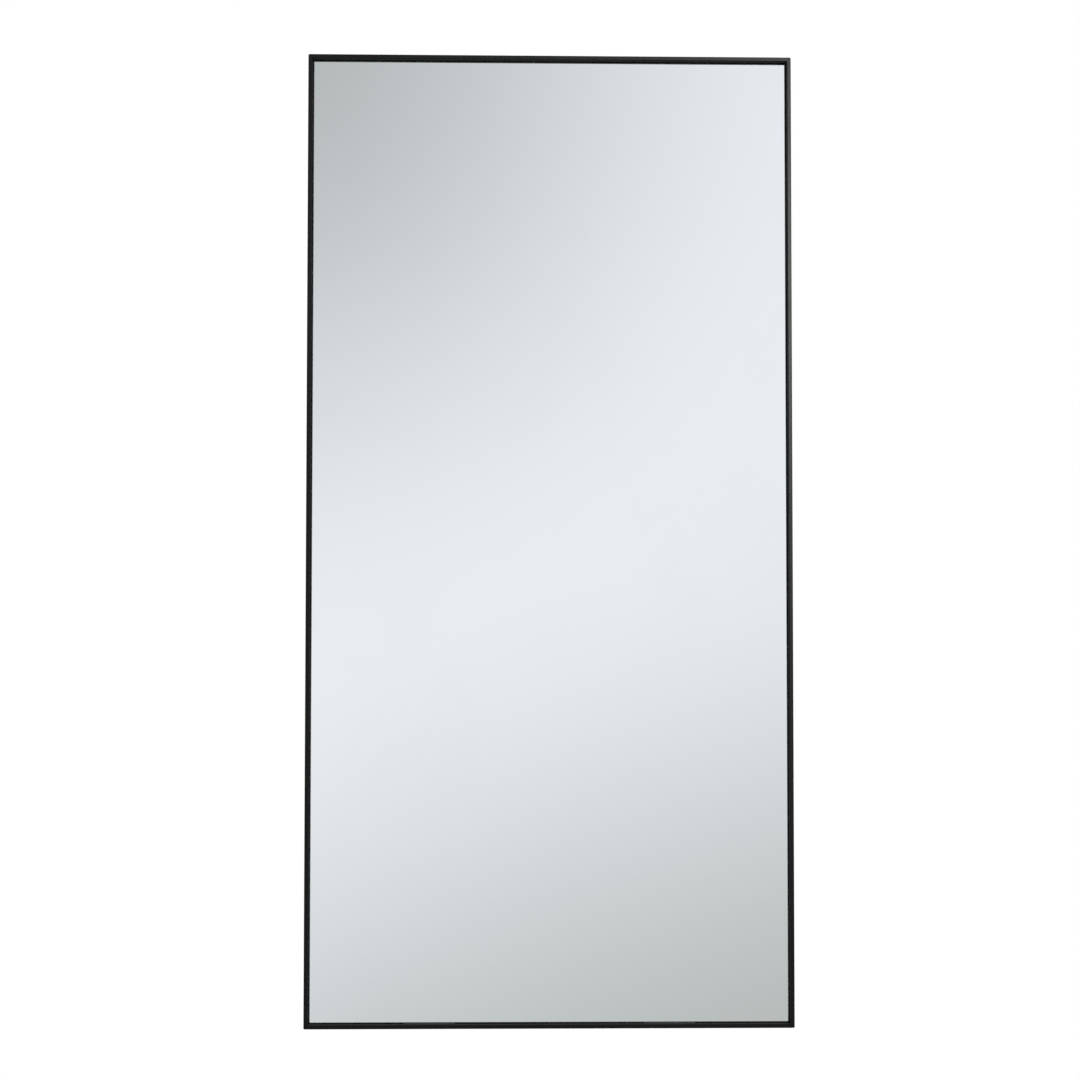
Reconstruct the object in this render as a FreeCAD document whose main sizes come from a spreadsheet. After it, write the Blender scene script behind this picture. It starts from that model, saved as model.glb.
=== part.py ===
import FreeCAD
import Part
import Sketcher
import os

# Full-length wall mirror: a slim mitred metal frame around a deep-set pane of mirror glass.
# X runs to the right seen from the front, Y from the front to the wall, Z up.
# The origin is the middle of the frame's underside.

# Driving sizes in millimetres.
SIZES = {
    "overall_width": 762.0,
    "overall_height": 1524.0,
    "frame_depth": 25.4,
    "face_width": 6.35,
    "chamber_wall": 1.2,
    "flange_thickness": 1.6,
    "flange_reach": 30.0,
    "edge_radius": 0.8,
    "corner_radius": 2.2,
    "key_leg": 45.0,
    "key_clearance": 0.1,
    "key_nose_radius": 3.0,
    "key_screw_inset": 30.0,
    "key_screw_shank": 3.0,
    "key_screw_head": 5.0,
    "screw_clearance": 0.05,
    "glass_thickness": 4.0,
    "glass_margin": 1.2,
    "front_arris": 1.2,
    "back_arris": 0.6,
    "film_thickness": 0.2,
    "film_margin": 2.0,
    "tape_thickness": 1.0,
    "tape_width": 25.0,
    "tape_inset": 40.0,
    "block_length": 80.0,
    "panel_thickness": 5.0,
    "panel_margin": 0.8,
    "panel_screw_shank": 3.5,
    "panel_screw_head": 7.0,
    "panel_screw_head_height": 1.9,
    "panel_screw_bite": 4.2,
    "panel_screw_from_corner": 95.0,
    "pilot_spare_depth": 0.3,
    "side_hanger_inset": 2.0,
    "strap_width": 11.0,
    "strap_gauge": 0.9,
    "strap_length": 16.5,
    "strap_layer_gap": 0.1,
    "strap_bend": 1.5,
    "strap_corner": 3.0,
    "strap_screw_distance": 9.0,
    "ring_wire": 2.4,
    "ring_clearance": 0.08,
    "ring_side_gap": 1.0,
    "ring_straight": 8.0,
    "ring_corner": 2.0,
    "ring_rest_gap": 0.3,
    "bumper_diameter": 12.7,
    "bumper_height": 6.0,
    "bumper_edge": 1.2,
    "bumper_from_corner": 48.0,
}

# How many of each repeated piece.
TAPE_STRIPS = 5
SETTING_BLOCKS = 2
SHORT_SIDE_SCREWS = 3
LONG_SIDE_SCREWS = 6

# Distances in depth, from the wall side of the frame forward to the glass.
REAR = "(Sizes.frame_depth / 2)"
FRONT = "(-Sizes.frame_depth / 2)"
PANEL_BACK = f"({REAR} - Sizes.flange_thickness)"
PANEL_FRONT = f"({PANEL_BACK} - Sizes.panel_thickness)"
FILM_BACK = f"({PANEL_FRONT} - Sizes.tape_thickness)"
GLASS_BACK = f"({FILM_BACK} - Sizes.film_thickness)"

# Clear opening between the inner walls of the frame, and the glass that fits it.
OPENING_WIDTH = "(Sizes.overall_width - 2 * Sizes.face_width)"
OPENING_HEIGHT = "(Sizes.overall_height - 2 * Sizes.face_width)"
GLASS_WIDTH = f"({OPENING_WIDTH} - 2 * Sizes.glass_margin)"
GLASS_HEIGHT = f"({OPENING_HEIGHT} - 2 * Sizes.glass_margin)"
GLASS_FOOT = "(Sizes.face_width + Sizes.glass_margin)"

# Distances from the outside of the frame inward.
FLANGE_TIP = "(Sizes.face_width + Sizes.flange_reach)"
FLANGE_MIDDLE = "(Sizes.face_width + Sizes.flange_reach / 2)"

# Holes that screws pass through or bite into.
PANEL_SCREW_HOLE = "(Sizes.panel_screw_shank + 2 * Sizes.screw_clearance)"
KEY_SCREW_HOLE = "(Sizes.key_screw_shank + 2 * Sizes.screw_clearance)"

# Folded strap and ring, measured from the rear of the flange and from the hinge line.
STRAP_STACK = "(2 * Sizes.strap_gauge + Sizes.strap_layer_gap)"
EYE_RADIUS = "(Sizes.ring_wire / 2 + Sizes.ring_clearance)"
HINGE_HEIGHT = f"(Sizes.strap_gauge + {EYE_RADIUS})"
RING_HALF = "(Sizes.strap_width / 2 + Sizes.ring_side_gap + Sizes.ring_wire / 2)"
RING_LENGTH = f"(Sizes.ring_straight + {RING_HALF})"
RING_LEAN = f"asin(({HINGE_HEIGHT} - Sizes.ring_wire / 2 - Sizes.ring_rest_gap) / {RING_LENGTH})"
SIDE_HANGER_LINE = f"({RING_LENGTH} + Sizes.ring_wire / 2 + Sizes.side_hanger_inset)"

# Hanger heights above the middle of a stile: at the thirds of the last bay between two panel screws.
LAST_SCREW = "(Sizes.overall_height / 2 - Sizes.panel_screw_from_corner)"
SCREW_BAY = f"({LAST_SCREW} * 2 / {LONG_SIDE_SCREWS - 1})"
UPRIGHT_HEIGHT = f"({LAST_SCREW} - {SCREW_BAY} / 3)"
SIDEWAYS_HEIGHT = f"({LAST_SCREW} - {SCREW_BAY} * 2 / 3)"

# The four sides of the frame: its length, its turn about Y from the bottom rail's pose, and its middle.
SIDES = {
    "bottom": ("Sizes.overall_width", 0, "0", "0"),
    "right": ("Sizes.overall_height", -90, "Sizes.overall_width / 2", "Sizes.overall_height / 2"),
    "top": ("Sizes.overall_width", 180, "0", "Sizes.overall_height"),
    "left": ("Sizes.overall_height", 90, "-Sizes.overall_width / 2", "Sizes.overall_height / 2"),
}

TOLERANCE = 1e-4

doc = FreeCAD.newDocument("wall_mirror")
sheet = doc.addObject("Spreadsheet::Sheet", "Sizes")
for row, (alias, millimetres) in enumerate(SIZES.items(), 1):
    sheet.set(f"A{row}", alias)
    sheet.set(f"B{row}", str(millimetres))
    sheet.setAlias(f"B{row}", alias)
doc.recompute()

pieces = []


def number(expression):
    return float(sheet.evalExpression(expression))


def new_body(label):
    body = doc.addObject("PartDesign::Body", label)
    body.Label = label
    return body


def place(piece, x, y, z, axis=(0, 1, 0), angle=0):
    rotation = FreeCAD.Rotation(FreeCAD.Vector(*axis), angle)
    piece.Placement = FreeCAD.Placement(FreeCAD.Vector(0, 0, 0), rotation)
    for letter, expression in zip("xyz", (x, y, z)):
        piece.setExpression(f".Placement.Base.{letter}", expression)


def new_sketch(body, name, plane_role, offset="0"):
    sketch = body.newObject("Sketcher::SketchObject", f"{body.Name}_{name}")
    plane = next(item for item in body.Origin.OriginFeatures if item.Role == plane_role)
    sketch.AttachmentSupport = [(plane, "")]
    sketch.MapMode = "FlatFace"
    sketch.setExpression(".AttachmentOffset.Base.z", offset)
    return sketch


def hold(sketch, curve, end, x=None, y=None):
    # Keeps one end or centre of a curve at driven coordinates.
    for direction, expression in (("DistanceX", x), ("DistanceY", y)):
        if expression is not None:
            rule = Sketcher.Constraint(direction, -1, 1, curve, end, number(expression))
            index = sketch.addConstraint(rule)
            sketch.setExpression(f"Constraints[{index}]", expression)


def chain(sketch, corners, arcs=None, closed=True):
    # A run of lines and arcs through driven corners. An arc replaces the line that starts at its corner.
    arcs = arcs or {}
    spots = [FreeCAD.Vector(number(x), number(y), 0) for x, y in corners]
    stretches = len(corners) if closed else len(corners) - 1
    ends = []
    for i in range(stretches):
        start, finish = spots[i], spots[(i + 1) % len(spots)]
        if i in arcs:
            centre_x, centre_y, turn = arcs[i]
            centre = FreeCAD.Vector(number(centre_x), number(centre_y), 0)
            round_about = Part.Circle(centre, FreeCAD.Vector(0, 0, 1), (start - centre).Length)
            first, last = (start, finish) if turn == "left" else (finish, start)
            sweep = (round_about.parameter(first), round_about.parameter(last))
            curve = sketch.addGeometry(Part.ArcOfCircle(round_about, *sweep), False)
            ends.append((curve, 1, 2) if turn == "left" else (curve, 2, 1))
            across = finish - start
            if abs(across.x) > abs(across.y):
                hold(sketch, curve, 3, y=centre_y)
            else:
                hold(sketch, curve, 3, x=centre_x)
        else:
            curve = sketch.addGeometry(Part.LineSegment(start, finish), False)
            ends.append((curve, 1, 2))
    for i in range(stretches if closed else stretches - 1):
        curve, _, finish_end = ends[i]
        next_curve, next_start, _ = ends[(i + 1) % stretches]
        sketch.addConstraint(Sketcher.Constraint("Coincident", curve, finish_end, next_curve, next_start))
    for i in range(stretches):
        hold(sketch, ends[i][0], ends[i][1], *corners[i])
    if not closed:
        hold(sketch, ends[-1][0], ends[-1][2], *corners[-1])


def rectangle(sketch, left, low, right, high):
    chain(sketch, [(left, low), (right, low), (right, high), (left, high)])


def circle(sketch, x, y, diameter):
    centre = FreeCAD.Vector(number(x), number(y), 0)
    curve = sketch.addGeometry(Part.Circle(centre, FreeCAD.Vector(0, 0, 1), number(diameter) / 2), False)
    hold(sketch, curve, 3, x, y)
    index = sketch.addConstraint(Sketcher.Constraint("Diameter", curve, number(diameter)))
    sketch.setExpression(f"Constraints[{index}]", diameter)


def pad(body, sketch, length, both_ways=False):
    feature = body.newObject("PartDesign::Pad", f"{sketch.Name}_pad")
    feature.Profile = sketch
    feature.SideType = "Symmetric" if both_ways else "One side"
    feature.setExpression("Length", length)
    doc.recompute()
    return feature


def cut_through(body, sketch):
    feature = body.newObject("PartDesign::Pocket", f"{sketch.Name}_cut")
    feature.Profile = sketch
    feature.Type = "ThroughAll"
    feature.SideType = "Symmetric"
    doc.recompute()
    return feature


def cut_blind(body, sketch, depth, along_normal=False):
    feature = body.newObject("PartDesign::Pocket", f"{sketch.Name}_cut")
    feature.Profile = sketch
    feature.Reversed = along_normal
    feature.setExpression("Length", depth)
    doc.recompute()
    return feature


def dress(body, kind, size_name, size, wanted):
    # A fillet or chamfer on the edges of the newest feature that the test picks.
    base = body.Tip
    names = [f"Edge{i}" for i, edge in enumerate(base.Shape.Edges, 1) if wanted(edge)]
    feature = body.newObject(f"PartDesign::{kind}", f"{base.Name}_{kind.lower()}")
    feature.Base = (base, names)
    feature.setExpression(size_name, size)
    doc.recompute()
    return feature


def points_of(edge):
    return [vertex.Point for vertex in edge.Vertexes]


def is_round(edge):
    return isinstance(edge.Curve, Part.Circle)


def all_near(values, target):
    return all(abs(value - target) < TOLERANCE for value in values)


def parallel_to_y(edge, x, z):
    ends = points_of(edge)
    return all_near([p.x for p in ends], x) and all_near([p.z for p in ends], z)


def on_frame(side, along, inward):
    # X and Z on the whole frame of a spot measured along one side and inward from its outer face.
    if side == "bottom":
        return f"({along})", f"({inward})"
    if side == "right":
        return f"(Sizes.overall_width / 2 - ({inward}))", f"(Sizes.overall_height / 2 + ({along}))"
    if side == "top":
        return f"(-({along}))", f"(Sizes.overall_height - ({inward}))"
    return f"(-Sizes.overall_width / 2 + ({inward}))", f"(Sizes.overall_height / 2 - ({along}))"


def panel_screw_spots(side):
    length = SIDES[side][0]
    count = SHORT_SIDE_SCREWS if side in ("bottom", "top") else LONG_SIDE_SCREWS
    run = f"({length} - 2 * Sizes.panel_screw_from_corner)"
    return [(f"{run} * {i / (count - 1) - 0.5}", FLANGE_MIDDLE) for i in range(count)]


def hanger_screw_spots(side):
    upright = f"({UPRIGHT_HEIGHT} - Sizes.strap_screw_distance)"
    if side == "right":
        return [(upright, FLANGE_MIDDLE)]
    if side == "left":
        inward = f"({SIDE_HANGER_LINE} + Sizes.strap_screw_distance)"
        return [(f"-{upright}", FLANGE_MIDDLE), (f"-{SIDEWAYS_HEIGHT}", inward), (SIDEWAYS_HEIGHT, inward)]
    return []


# Frame: one hollow flanged section, cut to a mitre with a rounded outside corner at each end.
def section(sketch):
    chain(sketch, [
        (FRONT, "0"),
        (REAR, "0"),
        (REAR, FLANGE_TIP),
        (PANEL_BACK, FLANGE_TIP),
        (PANEL_BACK, "Sizes.face_width"),
        (FRONT, "Sizes.face_width"),
    ])
    rectangle(
        sketch,
        f"{FRONT} + Sizes.chamber_wall",
        "Sizes.chamber_wall",
        PANEL_BACK,
        "Sizes.face_width - Sizes.chamber_wall",
    )


def mitre_waste(sketch, half, hand):
    # What is sawn away beyond the mitre plane and outside the rounded corner.
    radius = "Sizes.corner_radius"
    rounding = f"({radius} * (1 - sqrt(0.5)))"
    spare = radius
    deep = f"({FLANGE_TIP} + {spare})"
    centre = f"{hand} * ({half} - {radius})"
    corners = [
        (centre, "0"),
        (f"{hand} * ({half} - {rounding})", rounding),
        (f"{hand} * ({half} - {deep})", deep),
        (f"{hand} * ({half} + {spare})", deep),
        (f"{hand} * ({half} + {spare})", f"-{spare}"),
        (centre, f"-{spare}"),
    ]
    chain(sketch, corners, {0: (centre, radius, "left" if hand > 0 else "right")})


def frame_member(label, side):
    length, turn, x, z = SIDES[side]
    half = f"({length} / 2)"
    body = new_body(label)
    profile = new_sketch(body, "section", "YZ_Plane")
    section(profile)
    pad(body, profile, length, both_ways=True)

    mitres = new_sketch(body, "mitres", "XZ_Plane")
    for hand in (1, -1):
        mitre_waste(mitres, half, hand)
    cut_through(body, mitres)

    front, rear, rounded = number(FRONT), number(REAR), SIZES["corner_radius"]

    def long_edge(edge):
        ends = points_of(edge)
        along = is_round(edge) or abs(ends[0].z - ends[-1].z) < TOLERANCE
        at_front = all_near([p.y for p in ends], front)
        at_rear = all_near([p.y for p in ends], rear) and all(p.z < rounded for p in ends)
        return along and (at_front or at_rear)

    dress(body, "Fillet", "Radius", "Sizes.edge_radius", long_edge)

    flange_holes = new_sketch(body, "flange_holes", "XZ_Plane")
    for along, inward in panel_screw_spots(side) + hanger_screw_spots(side):
        circle(flange_holes, along, inward, PANEL_SCREW_HOLE)
    cut_through(body, flange_holes)

    key_holes = new_sketch(body, "key_holes", "XY_Plane", "Sizes.face_width")
    for hand in (1, -1):
        circle(key_holes, f"{hand} * ({half} - Sizes.key_screw_inset)", PANEL_FRONT, KEY_SCREW_HOLE)
    cut_blind(body, key_holes, "Sizes.chamber_wall * 1.5")

    inner_wall = SIZES["face_width"]

    def countersink(edge):
        return is_round(edge) and all_near([p.z for p in points_of(edge)], inner_wall)

    sink = "(Sizes.key_screw_head - Sizes.key_screw_shank) / 2"
    dress(body, "Chamfer", "Size", sink, countersink)

    place(body, x, "0", z, angle=turn)
    pieces.append(body)


# Corner keys: flat angles that slide into the chambers of two neighbouring sides.
def corner_key(label, turn, x, z):
    outer = "(Sizes.chamber_wall + Sizes.key_clearance)"
    inner = "(Sizes.face_width - Sizes.chamber_wall - Sizes.key_clearance)"
    leg = "Sizes.key_leg"
    body = new_body(label)
    angle = new_sketch(body, "angle", "XZ_Plane", f"-({PANEL_BACK} - Sizes.key_clearance)")
    chain(angle, [(outer, outer), (leg, outer), (leg, inner), (inner, inner), (inner, leg), (outer, leg)])
    chamber_depth = "Sizes.frame_depth - Sizes.chamber_wall - Sizes.flange_thickness"
    pad(body, angle, f"{chamber_depth} - 2 * Sizes.key_clearance")

    nose = number(outer)
    dress(body, "Fillet", "Radius", "Sizes.key_nose_radius", lambda edge: parallel_to_y(edge, nose, nose))

    lying_hole = new_sketch(body, "lying_hole", "XY_Plane")
    circle(lying_hole, "Sizes.key_screw_inset", PANEL_FRONT, KEY_SCREW_HOLE)
    cut_through(body, lying_hole)
    standing_hole = new_sketch(body, "standing_hole", "YZ_Plane")
    circle(standing_hole, PANEL_FRONT, "Sizes.key_screw_inset", KEY_SCREW_HOLE)
    cut_through(body, standing_hole)

    place(body, x, "0", z, angle=turn)
    pieces.append(body)


# Flat sheets that fill the opening, one behind the other.
def sheet_outline(body, back, width, height, foot):
    outline = new_sketch(body, "outline", "XZ_Plane", f"-{back}")
    rectangle(outline, f"-{width} / 2", foot, f"{width} / 2", f"{foot} + {height}")
    return outline


def mirror_glass():
    body = new_body("mirror_glass")
    outline = sheet_outline(body, GLASS_BACK, GLASS_WIDTH, GLASS_HEIGHT, GLASS_FOOT)
    pad(body, outline, "Sizes.glass_thickness")
    back = number(GLASS_BACK)
    front = back - SIZES["glass_thickness"]
    for face, arris in ((front, "Sizes.front_arris"), (back, "Sizes.back_arris")):
        dress(body, "Chamfer", "Size", arris, lambda edge: all_near([p.y for p in points_of(edge)], face))
    pieces.append(body)


def safety_film():
    body = new_body("safety_film")
    width = f"({GLASS_WIDTH} - 2 * Sizes.film_margin)"
    height = f"({GLASS_HEIGHT} - 2 * Sizes.film_margin)"
    outline = sheet_outline(body, FILM_BACK, width, height, f"({GLASS_FOOT} + Sizes.film_margin)")
    pad(body, outline, "Sizes.film_thickness")
    pieces.append(body)


def back_panel():
    body = new_body("back_panel")
    width = f"({OPENING_WIDTH} - 2 * Sizes.panel_margin)"
    height = f"({OPENING_HEIGHT} - 2 * Sizes.panel_margin)"
    outline = sheet_outline(body, PANEL_BACK, width, height, "(Sizes.face_width + Sizes.panel_margin)")
    pad(body, outline, "Sizes.panel_thickness")
    pilots = new_sketch(body, "pilot_holes", "XZ_Plane", f"-{PANEL_BACK}")
    for side in SIDES:
        for along, inward in panel_screw_spots(side) + hanger_screw_spots(side):
            circle(pilots, *on_frame(side, along, inward), PANEL_SCREW_HOLE)
    cut_blind(body, pilots, "Sizes.panel_screw_bite + Sizes.pilot_spare_depth", along_normal=True)
    pieces.append(body)


# Groups of like pieces, each group one node.
def group(label, members):
    compound = doc.addObject("Part::Compound", label)
    compound.Label = label
    compound.Links = members
    pieces.append(compound)


def block(label, sizes, spot):
    box = doc.addObject("Part::Box", label)
    for side, expression in zip(("Length", "Width", "Height"), sizes):
        box.setExpression(side, expression)
    place(box, *spot)
    return box


def mounting_tape():
    span = f"({GLASS_WIDTH} - 2 * Sizes.tape_inset - Sizes.tape_width)"
    size = ("Sizes.tape_width", "Sizes.tape_thickness", f"{GLASS_HEIGHT} - 2 * Sizes.tape_inset")
    foot = f"{GLASS_FOOT} + Sizes.tape_inset"
    strips = []
    for i in range(TAPE_STRIPS):
        left = f"{span} * {i / (TAPE_STRIPS - 1) - 0.5} - Sizes.tape_width / 2"
        strips.append(block(f"tape_strip_{i + 1}", size, (left, FILM_BACK, foot)))
    group("mounting_tape", strips)


def setting_blocks():
    size = ("Sizes.block_length", "Sizes.glass_thickness", "Sizes.glass_margin")
    front = f"{GLASS_BACK} - Sizes.glass_thickness"
    blocks = []
    for i in range(SETTING_BLOCKS):
        left = f"{GLASS_WIDTH} * {(i + 0.5) / SETTING_BLOCKS - 0.5} - Sizes.block_length / 2"
        blocks.append(block(f"setting_block_{i + 1}", size, (left, front, "Sizes.face_width")))
    group("setting_blocks", blocks)


# Screws: one turned form each, repeated wherever that screw sits.
def turned(label, corners, arcs=None):
    body = new_body(label)
    profile = new_sketch(body, "profile", "XZ_Plane")
    chain(profile, corners, arcs)
    feature = body.newObject("PartDesign::Revolution", f"{label}_turned")
    feature.Profile = profile
    feature.ReferenceAxis = (profile, ["V_Axis"])
    feature.Angle = 360
    doc.recompute()
    return body


def pan_head_screw(label, grip):
    shank = "Sizes.panel_screw_shank / 2"
    head = "Sizes.panel_screw_head / 2"
    rise = "Sizes.panel_screw_head_height"
    tip = f"-({grip} + Sizes.panel_screw_bite)"
    return turned(label, [
        ("0", tip),
        (f"{shank} / 3", tip),
        (shank, f"{tip} + {shank}"),
        (shank, "0"),
        (head, "0"),
        (head, f"{rise} * 0.45"),
        (f"{head} * 0.62", rise),
        ("0", rise),
    ])


def countersunk_screw(label):
    shank = "Sizes.key_screw_shank / 2"
    head = "Sizes.key_screw_head / 2"
    tip = "-(Sizes.face_width - 2 * Sizes.chamber_wall)"
    return turned(label, [
        ("0", tip),
        (shank, tip),
        (shank, f"{shank} - {head}"),
        (head, "0"),
        ("0", "0"),
    ])


def repeat(form, spots):
    copies = []
    for i, (x, y, z, axis, angle) in enumerate(spots, 1):
        copy = doc.addObject("App::Link", f"{form.Name}_{i}")
        copy.LinkedObject = form
        place(copy, x, y, z, axis, angle)
        copies.append(copy)
    return copies


def screws():
    to_wall = ((1, 0, 0), -90)
    hanger_seat = f"({REAR} + {STRAP_STACK})"
    panel_spots, hanger_spots, key_spots = [], [], []
    for side, (length, turn, _, _) in SIDES.items():
        for along, inward in panel_screw_spots(side):
            x, z = on_frame(side, along, inward)
            panel_spots.append((x, REAR, z, *to_wall))
        for along, inward in hanger_screw_spots(side):
            x, z = on_frame(side, along, inward)
            hanger_spots.append((x, hanger_seat, z, *to_wall))
        for hand in (1, -1):
            x, z = on_frame(side, f"{hand} * ({length} / 2 - Sizes.key_screw_inset)", "Sizes.face_width")
            key_spots.append((x, PANEL_FRONT, z, (0, 1, 0), turn))
    panel_form = pan_head_screw("panel_screw_form", "Sizes.flange_thickness")
    hanger_form = pan_head_screw("hanger_screw_form", f"({STRAP_STACK} + Sizes.flange_thickness)")
    group("panel_screws", repeat(panel_form, panel_spots))
    group("hanger_screws", repeat(hanger_form, hanger_spots))
    group("corner_key_screws", repeat(countersunk_screw("key_screw_form"), key_spots))


# Hangers: a strip folded round the straight bar of a wire ring, both layers under one screw.
def pipe(body, path, profile):
    feature = body.newObject("PartDesign::AdditivePipe", f"{body.Name}_pipe")
    feature.Profile = profile
    feature.Spine = (path, [f"Edge{i + 1}" for i in range(len(path.Shape.Edges))])
    doc.recompute()
    return feature


def hanger_strap(label, turn, x, z):
    gauge = "Sizes.strap_gauge"
    foot = "-Sizes.strap_length"
    bend = "Sizes.strap_bend"
    eye = f"({EYE_RADIUS} + {gauge} / 2)"
    upper = f"(1.5 * {gauge} + Sizes.strap_layer_gap)"
    lift = f"({upper} + {bend} - {HINGE_HEIGHT})"
    drop = f"sqrt(({eye} + {bend}) ^ 2 - {lift} ^ 2)"
    share = f"{eye} / ({eye} + {bend})"
    body = new_body(label)
    path = new_sketch(body, "fold", "YZ_Plane")
    corners = [
        (f"{gauge} / 2", foot),
        (f"{gauge} / 2", "0"),
        (f"{HINGE_HEIGHT} + {lift} * {share}", f"-{drop} * {share}"),
        (upper, f"-{drop}"),
        (upper, foot),
    ]
    arcs = {
        1: (HINGE_HEIGHT, "0", "right"),
        2: (f"{upper} + {bend}", f"-{drop}", "left"),
    }
    chain(path, corners, arcs, closed=False)
    profile = new_sketch(body, "strip", "XY_Plane", foot)
    rectangle(profile, "-Sizes.strap_width / 2", "0", "Sizes.strap_width / 2", gauge)
    doc.recompute()
    pipe(body, path, profile)

    side, end = SIZES["strap_width"] / 2, -SIZES["strap_length"]

    def end_corner(edge):
        return parallel_to_y(edge, side, end) or parallel_to_y(edge, -side, end)

    dress(body, "Fillet", "Radius", "Sizes.strap_corner", end_corner)

    hole = new_sketch(body, "screw_hole", "XZ_Plane")
    circle(hole, "0", "-Sizes.strap_screw_distance", PANEL_SCREW_HOLE)
    cut_through(body, hole)
    place(body, x, REAR, z, angle=turn)
    pieces.append(body)


def hanger_ring(label, turn, x, z):
    half = RING_HALF
    corner = "Sizes.ring_corner"
    straight = "Sizes.ring_straight"
    body = new_body(label)
    path = new_sketch(body, "bow", "XZ_Plane")
    path.AttachmentOffset = FreeCAD.Placement(
        FreeCAD.Vector(0, 0, 0), FreeCAD.Rotation(FreeCAD.Vector(1, 0, 0), 1))
    path.setExpression(".AttachmentOffset.Rotation.Angle", RING_LEAN)
    corners = [
        ("0", "0"),
        (f"{half} - {corner}", "0"),
        (half, corner),
        (half, straight),
        (f"-{half}", straight),
        (f"-{half}", corner),
        (f"{corner} - {half}", "0"),
    ]
    arcs = {
        1: (f"{half} - {corner}", corner, "left"),
        3: ("0", straight, "left"),
        5: (f"{corner} - {half}", corner, "left"),
    }
    chain(path, corners, arcs)
    profile = new_sketch(body, "wire", "YZ_Plane")
    circle(profile, "0", "0", "Sizes.ring_wire")
    doc.recompute()
    pipe(body, path, profile)
    place(body, x, f"{REAR} + {HINGE_HEIGHT}", z, angle=turn)
    pieces.append(body)


def hangers():
    middle = "Sizes.overall_height / 2"
    upright = f"{middle} + {UPRIGHT_HEIGHT}"
    outer = f"(Sizes.overall_width / 2 - {FLANGE_MIDDLE})"
    sideways = f"-Sizes.overall_width / 2 + {SIDE_HANGER_LINE}"
    spots = {
        "upright_left": (0, f"-{outer}", upright),
        "upright_right": (0, outer, upright),
        "sideways_lower": (-90, sideways, f"{middle} - {SIDEWAYS_HEIGHT}"),
        "sideways_upper": (-90, sideways, f"{middle} + {SIDEWAYS_HEIGHT}"),
    }
    for name, spot in spots.items():
        hanger_strap(f"hanger_strap_{name}", *spot)
        hanger_ring(f"hanger_ring_{name}", *spot)


# Wall bumpers: soft discs stuck to the rear flange of the top and bottom rails.
def wall_bumper(label, side, along):
    radius = "Sizes.bumper_diameter / 2"
    height = "Sizes.bumper_height"
    edge = "Sizes.bumper_edge"
    corners = [
        ("0", "0"),
        (radius, "0"),
        (radius, f"{height} - {edge}"),
        (f"{radius} - {edge}", height),
        ("0", height),
    ]
    body = turned(label, corners, {2: (f"{radius} - {edge}", f"{height} - {edge}", "left")})
    x, z = on_frame(side, along, FLANGE_MIDDLE)
    place(body, x, REAR, z, (1, 0, 0), -90)
    pieces.append(body)


frame_member("bottom_rail", "bottom")
frame_member("top_rail", "top")
frame_member("left_stile", "left")
frame_member("right_stile", "right")

corner_key("corner_key_bottom_left", 0, "-Sizes.overall_width / 2", "0")
corner_key("corner_key_bottom_right", -90, "Sizes.overall_width / 2", "0")
corner_key("corner_key_top_right", 180, "Sizes.overall_width / 2", "Sizes.overall_height")
corner_key("corner_key_top_left", 90, "-Sizes.overall_width / 2", "Sizes.overall_height")

mirror_glass()
safety_film()
mounting_tape()
setting_blocks()
back_panel()
screws()
hangers()

from_middle = "(Sizes.overall_width / 2 - Sizes.bumper_from_corner)"
wall_bumper("wall_bumper_bottom_left", "bottom", f"-{from_middle}")
wall_bumper("wall_bumper_bottom_right", "bottom", from_middle)
wall_bumper("wall_bumper_top_left", "top", from_middle)
wall_bumper("wall_bumper_top_right", "top", f"-{from_middle}")

doc.recompute()
for item in doc.Objects:
    if "Invalid" in item.State or "Error" in item.State:
        raise RuntimeError(f"{item.Label} did not build: {item.State}")

os.makedirs("parts", exist_ok=True)
for piece in pieces:
    shape = piece.Shape
    if shape.isNull() or not shape.isValid() or not shape.Solids:
        raise RuntimeError(f"{piece.Label} has no valid solid")
    shape.exportStep(f"parts/{piece.Label}.step")
    print(piece.Label, len(shape.Solids), round(shape.Volume, 1))
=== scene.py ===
# Full-length wall mirror in a slim black metal frame: finishes, small forms, studio and camera.
import math

import bmesh
import bpy
from mathutils import Euler, Matrix, Vector


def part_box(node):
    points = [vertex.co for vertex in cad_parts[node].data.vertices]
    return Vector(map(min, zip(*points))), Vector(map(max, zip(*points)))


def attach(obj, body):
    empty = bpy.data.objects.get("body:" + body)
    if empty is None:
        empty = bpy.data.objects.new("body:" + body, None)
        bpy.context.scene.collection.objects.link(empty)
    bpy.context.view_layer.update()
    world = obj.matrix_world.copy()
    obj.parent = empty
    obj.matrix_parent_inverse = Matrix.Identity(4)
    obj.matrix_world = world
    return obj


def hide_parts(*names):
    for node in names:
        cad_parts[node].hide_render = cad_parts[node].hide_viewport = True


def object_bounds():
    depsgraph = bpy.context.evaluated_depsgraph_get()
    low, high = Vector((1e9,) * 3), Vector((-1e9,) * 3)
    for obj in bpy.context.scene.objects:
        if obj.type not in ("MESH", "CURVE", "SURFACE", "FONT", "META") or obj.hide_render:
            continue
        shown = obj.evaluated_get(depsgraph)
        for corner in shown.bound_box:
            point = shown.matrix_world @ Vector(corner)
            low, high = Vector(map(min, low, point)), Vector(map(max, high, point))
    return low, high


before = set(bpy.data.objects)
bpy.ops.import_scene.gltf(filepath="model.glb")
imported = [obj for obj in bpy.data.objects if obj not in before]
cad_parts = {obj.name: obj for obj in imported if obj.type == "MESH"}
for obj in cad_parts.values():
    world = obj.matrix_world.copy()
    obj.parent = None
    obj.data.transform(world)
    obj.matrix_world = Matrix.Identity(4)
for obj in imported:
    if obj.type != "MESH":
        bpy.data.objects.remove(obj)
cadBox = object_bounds()

mm = 0.001
wholeBody = "framed_mirror"
bpy.context.scene.view_settings.view_transform = "Standard"


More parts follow.
